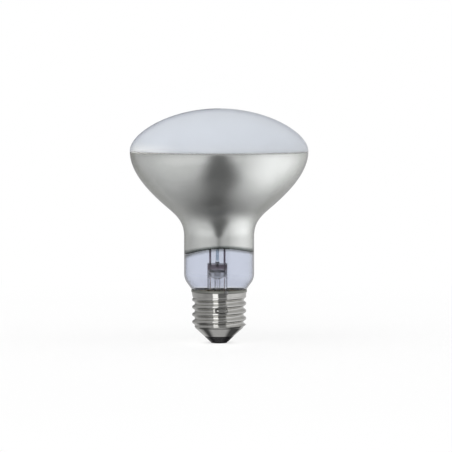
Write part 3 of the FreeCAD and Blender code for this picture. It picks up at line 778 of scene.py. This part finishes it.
def diffusing_film():
    """A pale film baked onto the inside of the dome, with a painted glow along its rim, strongest on the
    left.
    """
    material, shader, where = finish("diffusing_film", Roughness=0.75)
    axes = axes_of(where)
    glow_at_left = ramp_at(axes["X"], 0, GLOW_SIDE, 1.0, 0.0)
    glow_near_rim = ramp_at(axes["Z"], EQUATOR, GLOW_SEAM, 1.0, 0.0)
    clouds = mottled(where, scale=60)
    body = tinted(clouds, *map(linear, DIFFUSER))
    patch = calc("MAXIMUM", glow_at_left, product(clouds, GLOW_CLOUDS))
    # Painted glow: a paler rim, full on the left and clouded elsewhere along the seam
    painted_glow = product(glow_near_rim, patch)
    feed(shader, Base_Color=tinted(painted_glow, body, linear(PAINTED_GLOW_DIFFUSER)))
    uneven(shader, where, scale=2500, relief=0.02)
    return material


def mirror_film():
    """Aluminium evaporated onto the glass: bright, a little hazy, and darkened by painted shade along its
    free edge.
    """
    material, shader, where = finish("mirror_film", Metallic=1.0)
    axes = axes_of(where)
    above, across = over_mirror_edge(axes)
    # Painted shade: a dark band over the mirror's free edge, reaching higher at the sides of the neck
    edge_shade_end = total(product(across, across, EDGE_SHADE_SIDES * MM), EDGE_SHADE_REACH * MM)
    edge_shade = ramp(above, EDGE_SHADE_FROM * MM, edge_shade_end, 1.0, 0.0)
    at_seam = ramp_at(axes["Z"], EQUATOR, MIRROR_SEAM)
    thinned = tinted(at_seam, cloudy(where, 35, ALUMINIUM), THINNED_ALUMINIUM)
    haze = mottled(where, scale=90, low=0.12, high=0.18)
    feed(shader, Base_Color=tinted(edge_shade, thinned, PAINTED_SHADE_ALUMINIUM), Roughness=haze)
    uneven(shader, where, scale=30, relief=0.2, detail=0)
    return material


def mount_glass():
    """Lead glass of the mount, frosted and darkened where the press was pinched."""
    smooth = 0.06
    frosted = 0.3
    material, shader, where = finish("mount_glass", IOR=1.56, Transmission_Weight=1.0)
    height = axes_of(where)["Z"]
    up_to_bar = ramp_at(height, PRESS_MIDDLE, BAR_BOTTOM, kind="SMOOTHERSTEP")
    past_bar = ramp_at(height, PRESS_TOP, BAR_TOP)
    smoked = calc("SUBTRACT", up_to_bar, past_bar, clamp=True)
    above = ramp_at(height, PRESS_TOP, ROD_FADE, kind="LINEAR")
    glass = tinted(above, LEAD_GLASS, ROD_GLASS)
    colour = tinted(smoked, glass, SMOKED_GLASS)
    pinched = ramp_at(height, PRESS_MIDDLE, PINCH_FADE)
    dulled = product(calc("SUBTRACT", pinched, past_bar, clamp=True), frosted)
    feed(shader, Base_Color=colour, Roughness=total(dulled, smooth))
    uneven(shader, where, scale=220, relief=0.03, detail=1)
    return material


def cap_metal():
    """Nickel plated brass with fine marks from rolling and handling, and painted shade in the crimp mark.
    """
    marks_roughen = 0.10
    hem_roughens = 0.5
    material, shader, where = finish("cap_metal", Metallic=1.0)
    mask, height = marked(where, scale=500, stretch=14, amount=0.6)
    worn = tinted(mask, cloudy(where, 160, NICKEL), WORN_NICKEL)
    axes = axes_of(where)
    crimp = [size * MM for size in (CRIMP_HEIGHT, CRIMP_WIDTH, CRIMP_REACH)]
    spread, above = from_crimp(axes, ROOT_RADIUS * MM, CRIMP_BEARING, *crimp)
    # Painted shade along the crimp mark's wall, patchy and deeper away from its middle height
    from_wall = calc("ABSOLUTE", less(spread, CRIMP_WALL))
    at_wall = ramp(from_wall, 0.0, CRIMP_SHADE_SPREAD, 1.0, 0.0)
    patchy = product(calc("ABSOLUTE", above), mottled(where, scale=700, low=0.25))
    crimp_shade = calc("MULTIPLY", at_wall, patchy, clamp=True)
    on_hem = ramp_at(axes["Z"], CAP_HEIGHT - HEM_HEIGHT, HEM_FADE, kind="LINEAR")
    colour = tinted(crimp_shade, tinted(on_hem, worn, DULL_NICKEL), PAINTED_CRIMP_SHADE)
    polish = mottled(where, scale=240, low=0.05, high=0.09)
    rough = total(polish, product(mask, marks_roughen), product(on_hem, hem_roughens))
    feed(shader, Base_Color=colour, Roughness=rough)
    bumped(shader, height, relief=0.006)
    return material


def black_glass():
    """Glass poured into the cap's cone, black, glossy and slightly uneven."""
    material, shader, where = finish("black_glass", IOR=1.52)
    gloss = mottled(where, scale=500, low=0.14, high=0.3)
    feed(shader, Base_Color=cloudy(where, 300, POURED_GLASS), Roughness=gloss)
    uneven(shader, where, scale=420, relief=0.06)
    return material


def bare_metal(name, colours, roughness, scale, relief, metallic=1.0):
    """A drawn, cast or soldered metal, mottled between two colours."""
    material, shader, where = finish(name, Metallic=metallic)
    rough = mottled(where, scale * 2, *roughness)
    feed(shader, Base_Color=cloudy(where, scale, colours), Roughness=rough)
    uneven(shader, where, scale * 3, relief)
    return material


def contact_finish():
    """Brass, bright where it is rubbed, and darkened by painted shade towards its edge."""
    material, shader, where = finish("brass_contact", Metallic=1.0)
    radius = length(level(axes_of(where)))
    # Painted shade: the contact turns near black towards its edge, along a wandering line
    wander = mottled(where, 900, -CONTACT_SHADE_WANDER * MM, CONTACT_SHADE_WANDER * MM)
    rim_shade = ramp_at(total(radius, wander), CONTACT_RADIUS, CONTACT_SHADE_FADE, kind="LINEAR")
    brass = cloudy(where, 600, BRASS)
    rubbed = mottled(where, scale=900, low=0.25, high=0.4)
    feed(shader, Base_Color=tinted(rim_shade, brass, PAINTED_CONTACT_SHADE), Roughness=rubbed)
    uneven(shader, where, scale=1500, relief=0.02)
    return material


def cement_finish():
    """Grey, gritty basing cement."""
    material, shader, where = finish("cement_finish", Roughness=0.9)
    feed(shader, Base_Color=cloudy(where, 900, map(linear, CEMENT)))
    uneven(shader, where, scale=1800, relief=0.1)
    return material


# Plain metals by what they are used for: name, two colours, ends of the roughness, scale and relief
METALS = {
    "solder": ("soft_solder", ((0.62, 0.62, 0.62), (0.40, 0.40, 0.41)), (0.25, 0.5), 900, 0.06),
    "copper_lead": ("copper_wire", ((0.70, 0.52, 0.44), (0.50, 0.36, 0.30)), (0.3, 0.45), 800, 0.01),
    "seal_wire": ("coated_seal_wire", ((0.60, 0.22, 0.15), (0.42, 0.14, 0.10)), (0.35, 0.5), 800, 0.01),
    "inner_lead": ("oxidised_lead", ((0.40, 0.33, 0.39), (0.28, 0.22, 0.27)), (0.5, 0.65), 500, 0.01, 0.6),
    "support_wire": ("support_metal", ((0.42, 0.41, 0.40), (0.30, 0.29, 0.28)), (0.3, 0.5), 900, 0.01),
    "filament": ("tungsten", ((0.30, 0.30, 0.31), (0.18, 0.18, 0.19)), (0.3, 0.5), 900, 0.01),
}
finishes = {
    "clear_glass": clear_glass(),
    "diffuser_film": diffusing_film(),
    "mirror_film": mirror_film(),
    "mount_glass": mount_glass(),
    "cap_metal": cap_metal(),
    "black_glass": black_glass(),
    "contact_metal": contact_finish(),
    "cement": cement_finish(),
}
for finish_name, values in METALS.items():
    finishes[finish_name] = bare_metal(*values)


# Pieces that follow a rule


turned = turning_tree()


def turned_skin(name, outline, finish_name, row=GLASS_ROW, steps=GLASS_STEPS, inset=0.0):
    piece = curve_of(name, outline)
    sizes = {"row_length": row * MM, "steps_around": steps, "inset": inset * MM}
    shape_with(piece, turned, finish=finishes[finish_name], **sizes)
    return piece


def glass_bulb():
    outline = dome_outline() + bowl_outline() + neck_outline()
    return walled(turned_skin("bulb_outline", outline, "clear_glass"), GLASS, "glass_bulb")


def dome_film():
    skin = turned_skin("dome_outline", dome_outline(), "diffuser_film", inset=GLASS - FILM_BITE)
    return walled(skin, FILM, "dome_film")


def bowl_mirror():
    outline = bowl_outline() + straight(at(NECK_RADIUS, NECK_TOP), at(NECK_RADIUS, WINDOW_LOWEST))
    skin = turned_skin("mirror_outline", outline, "mirror_film", inset=GLASS - FILM_BITE)
    shape_with(
        skin,
        arched_edge_tree(),
        upper_height=NECK_TOP * MM,
        lower_height=WINDOW_LOWEST * MM,
        crown_height=WINDOW_CROWN * MM,
        arch=WINDOW_ARCH * MM,
        tilt=WINDOW_TILT * MM,
        radius=NECK_RADIUS * MM,
        finish=finishes["mirror_film"],
    )
    return walled(skin, FILM, "bowl_mirror")


def screw_shell():
    """The rolled shell: its outline turned, then the thread, the crimp mark and the notch."""
    skin = turned_skin("shell_outline", shell_outline(), "cap_metal", SHELL_ROW, SHELL_STEPS)
    turn = 2 * math.atan(2 * THREAD_DEPTH / PITCH)
    shape_with(
        skin,
        thread_tree(),
        root_radius=ROOT_RADIUS * MM,
        pitch=PITCH * MM,
        depth=THREAD_DEPTH * MM,
        arc_radius=THREAD_DEPTH / (2 * (1 - math.cos(turn))) * MM,
        phase=THREAD_PHASE * MM,
        fade_height=(CONE_SHOULDER + FADE_RISE) * MM,
        fade_slope=math.tan(FADE_ANGLE),
        rim_height=CAP_HEIGHT * MM,
        notch_bearing=SIDE_BEARING,
        notch_width=NOTCH_WIDTH * MM,
        notch_depth=NOTCH_DEPTH * MM,
        crimp_bearing=CRIMP_BEARING,
        crimp_height=CRIMP_HEIGHT * MM,
        crimp_width=CRIMP_WIDTH * MM,
        crimp_reach=CRIMP_REACH * MM,
        crimp_depth=CRIMP_DEPTH * MM,
        crimp_press=CRIMP_PRESS,
        crimp_steepness=CRIMP_STEEPNESS,
        finish=finishes["cap_metal"],
    )
    return walled(skin, SHEET, "screw_shell")


def filament_coil():
    line = curve_of("filament_line", filament_line())
    shape_with(
        line,
        winding_tree(),
        turns=FILAMENT_TURNS,
        steps_per_turn=COIL_STEPS,
        wire_sides=WIRE_SIDES,
        winding_radius=(COIL_RADIUS - FILAMENT_WIRE) * MM,
        wire_radius=FILAMENT_WIRE * MM,
        finish=finishes["filament"],
    )
    return plain_mesh(line, "filament_coil")


hand_over(glass_bulb(), "clear_glass", "envelope")
hand_over(dome_film(), "diffuser_film", "face_diffuser")
hand_over(bowl_mirror(), "mirror_film", "reflector_coating")
shell = hand_over(screw_shell(), "cap_metal", "cap_shell")
hand_over(filament_coil(), "filament", "filament")

# Pieces that keep the frame's own shape
KEPT = {
    "mount_glass": ("stem_flare", "exhaust_tube", "arbor_rod"),
    "inner_lead": ("inner_lead_left", "inner_lead_right"),
    "seal_wire": ("seal_wire_left", "seal_wire_right"),
    "copper_lead": ("outer_lead_centre", "outer_lead_side"),
    "support_wire": ("support_wire_1", "support_wire_2", "support_wire_3"),
    "black_glass": ("cap_insulator",),
    "contact_metal": ("centre_contact",),
    "solder": ("contact_solder", "side_solder"),
    "cement": ("basing_cement",),
}
for finish_name, nodes in KEPT.items():
    for node in nodes:
        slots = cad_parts[node].data.materials
        slots.clear()
        slots.append(finishes[finish_name])


# Studio, in metres and degrees

WHITE = (1, 1, 1, 1)
WORLD_LIGHT = 0.85
FLOOR_SIZE = 6.0
FLOOR_GREY = 0.95
SHADOW_REACH = (0.10, 0.45)  # radii between which the floor turns from lit to plain white
SHADOW_SHARE = 0.4  # how much of the floor's shadow is kept
CAMERA_PLACE = Vector((0.00336, -1.57, 0.136))
CAMERA_AIM = Vector((0.00336, 0.0, 0.057))
CAMERA_SPAN = 0.22014  # width of the picture at the bulb's axis
CAMERA_FIELD = 2 * math.atan(CAMERA_SPAN / 2 / (CAMERA_AIM - CAMERA_PLACE).length)
SUN_SPREAD = 60
SUNS = {"soft_key": ((-0.8, -1.0, 1.4), 0.5), "soft_fill": ((1.0, -0.6, 1.2), 0.3)}

# Strip lamp, its angles as the cap sees it
STRIP_BEARING = -16
STRIP_WIDTH = 23
STRIP_HEIGHT = 70
STRIP_REACH = 0.6
STRIP_GREY = 0.94

# Tent that the mirror and the cap reflect. Bearings run to the right from 0 towards the camera.
TENT_RADIUS = 0.9
TENT_HEIGHT = 0.057
TENT_SIDES = 48
BOWL_PANELS = (
    (-180, 0.33), (-160, 0.39), (-144, 0.52), (-100, 0.66), (-62, 0.88), (-34, 0.86), (0, 0.68),
    (34, 0.74), (64, 1.14), (84, 1.26), (106, 1.25), (130, 0.87), (160, 0.39), (180, 0.33),
)
CAP_PANELS = (
    (-180, 0.55), (-130, 0.40), (-60, 0.33), (-44, 0.42), (-6, 0.48), (-3, 0.18),
    (32, 0.19), (37, 0.90), (52, 0.78), (90, 0.68), (130, 0.55), (180, 0.55),
)
# Share of the panels' light by elevation, over a dark table
BOWL_FALL = ((-90, 0.0), (-84, 0.03), (-52, 0.86), (-40, 1.0), (-14, 1.0), (-3, 0.72))
CAP_FALL = ((-90, 0.0), (-35, 0.0), (-31, 0.55), (-27, 0.65), (-23, 1.0), (7, 1.0), (24, 0.3), (90, 0.2))
# Grey of the table under the bowl by bearing, and under the cap by elevation
BOWL_TABLE = ((-180, 0.06), (-110, 0.09), (-60, 0.14), (60, 0.14), (110, 0.12), (180, 0.06))
CAP_TABLE = ((-90, 0.45), (-70, 0.42), (-60, 0.07), (10, 0.05), (30, 0.4), (90, 0.4))
# How much of that light a fold in front takes from the lower part of the bowl's panels, by bearing
BOWL_FOLD = ((-95, 0.0), (-66, 0.16), (-30, 0.24), (22, 0.18), (44, 0.0))
FOLD_SPAN = (-36, -20)  # elevations, all there below the first and gone over the second
GAP_BEARING = -0.5  # middle of the dark gap between the bowl's panels
GAP_TOP = -3  # elevation at which it closes
GAP_SPREAD = 4.2  # half of its width a degree below its top
GAP_LIMIT = 12.5  # where that half stops growing with the square root
GAP_SLOPE = 0.18  # what each degree of depth adds to it, in degrees
GAP_CURVE = 0.26  # what the cube of the depth adds to it, both in radians
GAP_LEAN = 0.05  # how far each degree of depth moves its middle to the right
GAP_LEAST = 0.01  # half of its width at the top, in radians
GAP_CLOSING = 0.02  # what the panels' edges overlap by there, in radians
GAP_EDGE = (0.4, 1.6)  # shares of half its width between which the panels set in
BACK_SPAN = (105, 150)  # bearings from which the bowl's panels hang higher behind the bulb
BACK_RISE = 12
LEFT_SPAN = (-145, -120)  # bearings up to which the cap's panel hangs lower behind it on the left
LEFT_DROP = 16
FILM_LIGHT = (2.33, 1.77)  # light on the films through the glass, from the left and from the right


def seen_directly(tree):
    """1 for what the camera, a reflection or glass looks at, and 0 for light that falls on the object."""
    path = tree.nodes.new("ShaderNodeLightPath").outputs
    reflected = calc("MAXIMUM", path["Is Camera Ray"], path["Is Glossy Ray"])
    return calc("MAXIMUM", reflected, path["Is Transmission Ray"])


def has_met(tree, depth):
    """1 along a path that has met a surface of the kind that a depth of Light Path counts."""
    return calc("GREATER_THAN", tree.nodes.new("ShaderNodeLightPath").outputs[depth], 0.5)


def mixed(factor, first, second):
    return made(tree_of(factor), "ShaderNodeMixShader", {0: factor, 1: first, 2: second})


def studio_world():
    world = bpy.data.worlds.new("studio")
    tree = cleared_tree(world)
    seen = made(tree, "ShaderNodeBackground", {"Color": WHITE, "Strength": 1.0})
    cast = made(tree, "ShaderNodeBackground", {"Color": WHITE, "Strength": WORLD_LIGHT})
    add(tree, "ShaderNodeOutputWorld", {"Surface": mixed(seen_directly(tree), cast, seen)})
    bpy.context.scene.world = world


def studio_floor():
    """A pale floor that keeps the shadow near the bulb and runs out into plain white."""
    half = FLOOR_SIZE / 2
    mesh = bpy.data.meshes.new("floor")
    corners = [(-half, -half, 0), (half, -half, 0), (half, half, 0), (-half, half, 0)]
    mesh.from_pydata(corners, [], [(0, 1, 2, 3)])
    floor = in_scene("floor", mesh)
    material = bpy.data.materials.new("pale_floor")
    tree = cleared_tree(material)
    paler = calc("MAXIMUM", ramp(length(object_place(tree)), *SHADOW_REACH), 1 - SHADOW_SHARE)
    white = made(tree, "ShaderNodeEmission", {"Color": WHITE, "Strength": 1.0})
    lit = made(tree, "ShaderNodeBsdfDiffuse", {"Color": (FLOOR_GREY, FLOOR_GREY, FLOOR_GREY, 1)})
    top = mixed(product(seen_directly(tree), paler), lit, white)
    back = tree.nodes.new("ShaderNodeNewGeometry").outputs["Backfacing"]
    hidden = calc("MAXIMUM", back, has_met(tree, "Glossy Depth"))
    clear = made(tree, "ShaderNodeBsdfTransparent")
    add(tree, "ShaderNodeOutputMaterial", {"Surface": mixed(hidden, top, clear)})
    mesh.materials.append(material)
    floor.visible_glossy = False


def painted(angle, whole, stops):
    """A grey that follows an angle in radians through stops in degrees, with 0 in the middle."""
    share = total(over(angle, math.radians(whole)), 0.5)
    node = add(tree_of(angle), "ShaderNodeValToRGB", {0: share})
    elements = node.color_ramp.elements
    while len(elements) < len(stops):
        elements.new(1.0)
    for element, (degrees, grey) in zip(elements, stops):
        element.position = degrees / whole + 0.5
        element.color = (grey, grey, grey, 1)
    return node.outputs[0]


def beside_gap(bearing, elevation):
    """0 in the dark gap between the bowl's panels and 1 beside it. It widens from its top down."""
    depth = calc("MAXIMUM", less(math.radians(GAP_TOP), elevation), 0.0)
    root = calc("SQRT", product(depth, math.degrees(1)))
    opening = calc("MINIMUM", product(root, GAP_SPREAD), GAP_LIMIT)
    curve = product(depth, depth, depth, GAP_CURVE)
    slope = product(depth, GAP_SLOPE)
    half_gap = total(product(opening, math.radians(1)), slope, curve, GAP_LEAST)
    middle = total(product(depth, GAP_LEAN), math.radians(GAP_BEARING))
    aside = calc("ABSOLUTE", less(bearing, middle))
    return ramp(over(total(aside, GAP_CLOSING), half_gap), *GAP_EDGE)


def bowl_light(bearing, elevation):
    """What the mirror reflects: soft panels left and right of a dark gap, over a dark table."""
    aside = calc("ABSOLUTE", bearing)
    behind = ramp(aside, *map(math.radians, BACK_SPAN), 0.0, math.radians(BACK_RISE))
    in_fold = ramp(elevation, *map(math.radians, FOLD_SPAN), 1.0, 0.0)
    fold = product(in_fold, painted(bearing, 360, BOWL_FOLD))
    fall = painted(less(elevation, behind), 180, BOWL_FALL)
    share = product(fall, less(1.0, fold), beside_gap(bearing, elevation))
    table = painted(bearing, 360, BOWL_TABLE)
    return tinted(share, table, painted(bearing, 360, BOWL_PANELS))


def cap_light(bearing, elevation):
    """What the cap reflects: a pale panel on the right and a dim one on the left of a dark one."""
    left_behind = ramp(bearing, *map(math.radians, LEFT_SPAN), math.radians(LEFT_DROP), 0.0)
    fall = painted(total(elevation, left_behind), 180, CAP_FALL)
    table = painted(elevation, 180, CAP_TABLE)
    return tinted(fall, table, painted(bearing, 360, CAP_PANELS))


def light_tent():
    """A globe that only reflections and the light through the glass can see."""
    mesh = bpy.data.meshes.new("light_tent")
    globe = bmesh.new()
    bmesh.ops.create_uvsphere(globe, u_segments=TENT_SIDES, v_segments=TENT_SIDES // 2, radius=TENT_RADIUS)
    bmesh.ops.translate(globe, verts=globe.verts, vec=(0, 0, TENT_HEIGHT))
    globe.to_mesh(mesh)
    globe.free()
    tent = in_scene("light_tent", mesh)
    material = bpy.data.materials.new("tent_panels")
    tree = cleared_tree(material)
    centred = vector_calc("ADD", object_place(tree), (0, 0, -TENT_HEIGHT))
    axes = axes_of(vector_calc("NORMALIZE", centred))
    bearing = calc("ARCTAN2", axes["X"], product(axes["Y"], -1.0))
    elevation = calc("ARCSINE", axes["Z"])
    lights = (cap_light(bearing, elevation), bowl_light(bearing, elevation))
    panels = tinted(has_met(tree, "Transmission Depth"), *lights)
    light = made(tree, "ShaderNodeEmission", {"Color": panels, "Strength": 1.0})
    strength = ramp(axes["X"], -1.0, 1.0, *FILM_LIGHT, "LINEAR")
    glow = made(tree, "ShaderNodeEmission", {"Color": WHITE, "Strength": strength})
    clear = made(tree, "ShaderNodeBsdfTransparent")
    lit = mixed(has_met(tree, "Glossy Depth"), clear, light)
    add(tree, "ShaderNodeOutputMaterial", {"Surface": mixed(has_met(tree, "Diffuse Depth"), lit, glow)})
    material.cycles.emission_sampling = "NONE"
    mesh.materials.append(material)
    tent.visible_camera = False
    tent.visible_diffuse = False
    tent.visible_shadow = False


def aimed(piece, stand, aim):
    piece.location = stand
    piece.rotation_euler = (Vector(aim) - Vector(stand)).to_track_quat("-Z", "Y").to_euler()


def lamp(name, kind, stand, aim, power, seen=False, **settings):
    data = bpy.data.lights.new(name, kind)
    data.energy = power
    for key, value in settings.items():
        setattr(data, key, value)
    piece = in_scene(name, data)
    aimed(piece, stand, aim)
    piece.visible_glossy = seen
    piece.visible_camera = False
    return piece


def strip_lamp():
    """A tall, narrow soft lamp left of the camera, for the cap's bright strip alone."""
    middle = Vector((0, 0, CAP_HEIGHT / 2 * MM))
    bearing = math.radians(STRIP_BEARING)
    stand = middle + Vector((math.sin(bearing), -math.cos(bearing), 0)) * STRIP_REACH
    width = 2 * STRIP_REACH * math.tan(math.radians(STRIP_WIDTH / 2))
    height = 2 * STRIP_REACH * math.tan(math.radians(STRIP_HEIGHT / 2))
    power = STRIP_GREY * math.pi * width * height
    size = {"shape": "RECTANGLE", "size": width, "size_y": height}
    strip = lamp("strip_lamp", "AREA", stand, middle, power, seen=True, **size)
    only_cap = bpy.data.collections.new("strip_lamp_lights")
    only_cap.objects.link(shell)
    strip.light_linking.receiver_collection = only_cap


def studio_camera():
    data = bpy.data.cameras.new("camera")
    data.angle = CAMERA_FIELD
    camera = in_scene("camera", data)
    aimed(camera, CAMERA_PLACE, CAMERA_AIM)
    bpy.context.scene.camera = camera


studio_world()
studio_floor()
light_tent()
for name, (stand, power) in SUNS.items():
    lamp(name, "SUN", stand, (0, 0, 0), power, angle=math.radians(SUN_SPREAD))
strip_lamp()
studio_camera()
scene = bpy.context.scene
scene.view_settings.view_transform = "Standard"
scene.cycles.max_bounces = 32
scene.cycles.transmission_bounces = 32
scene.cycles.glossy_bounces = 16
scene.cycles.diffuse_bounces = 8
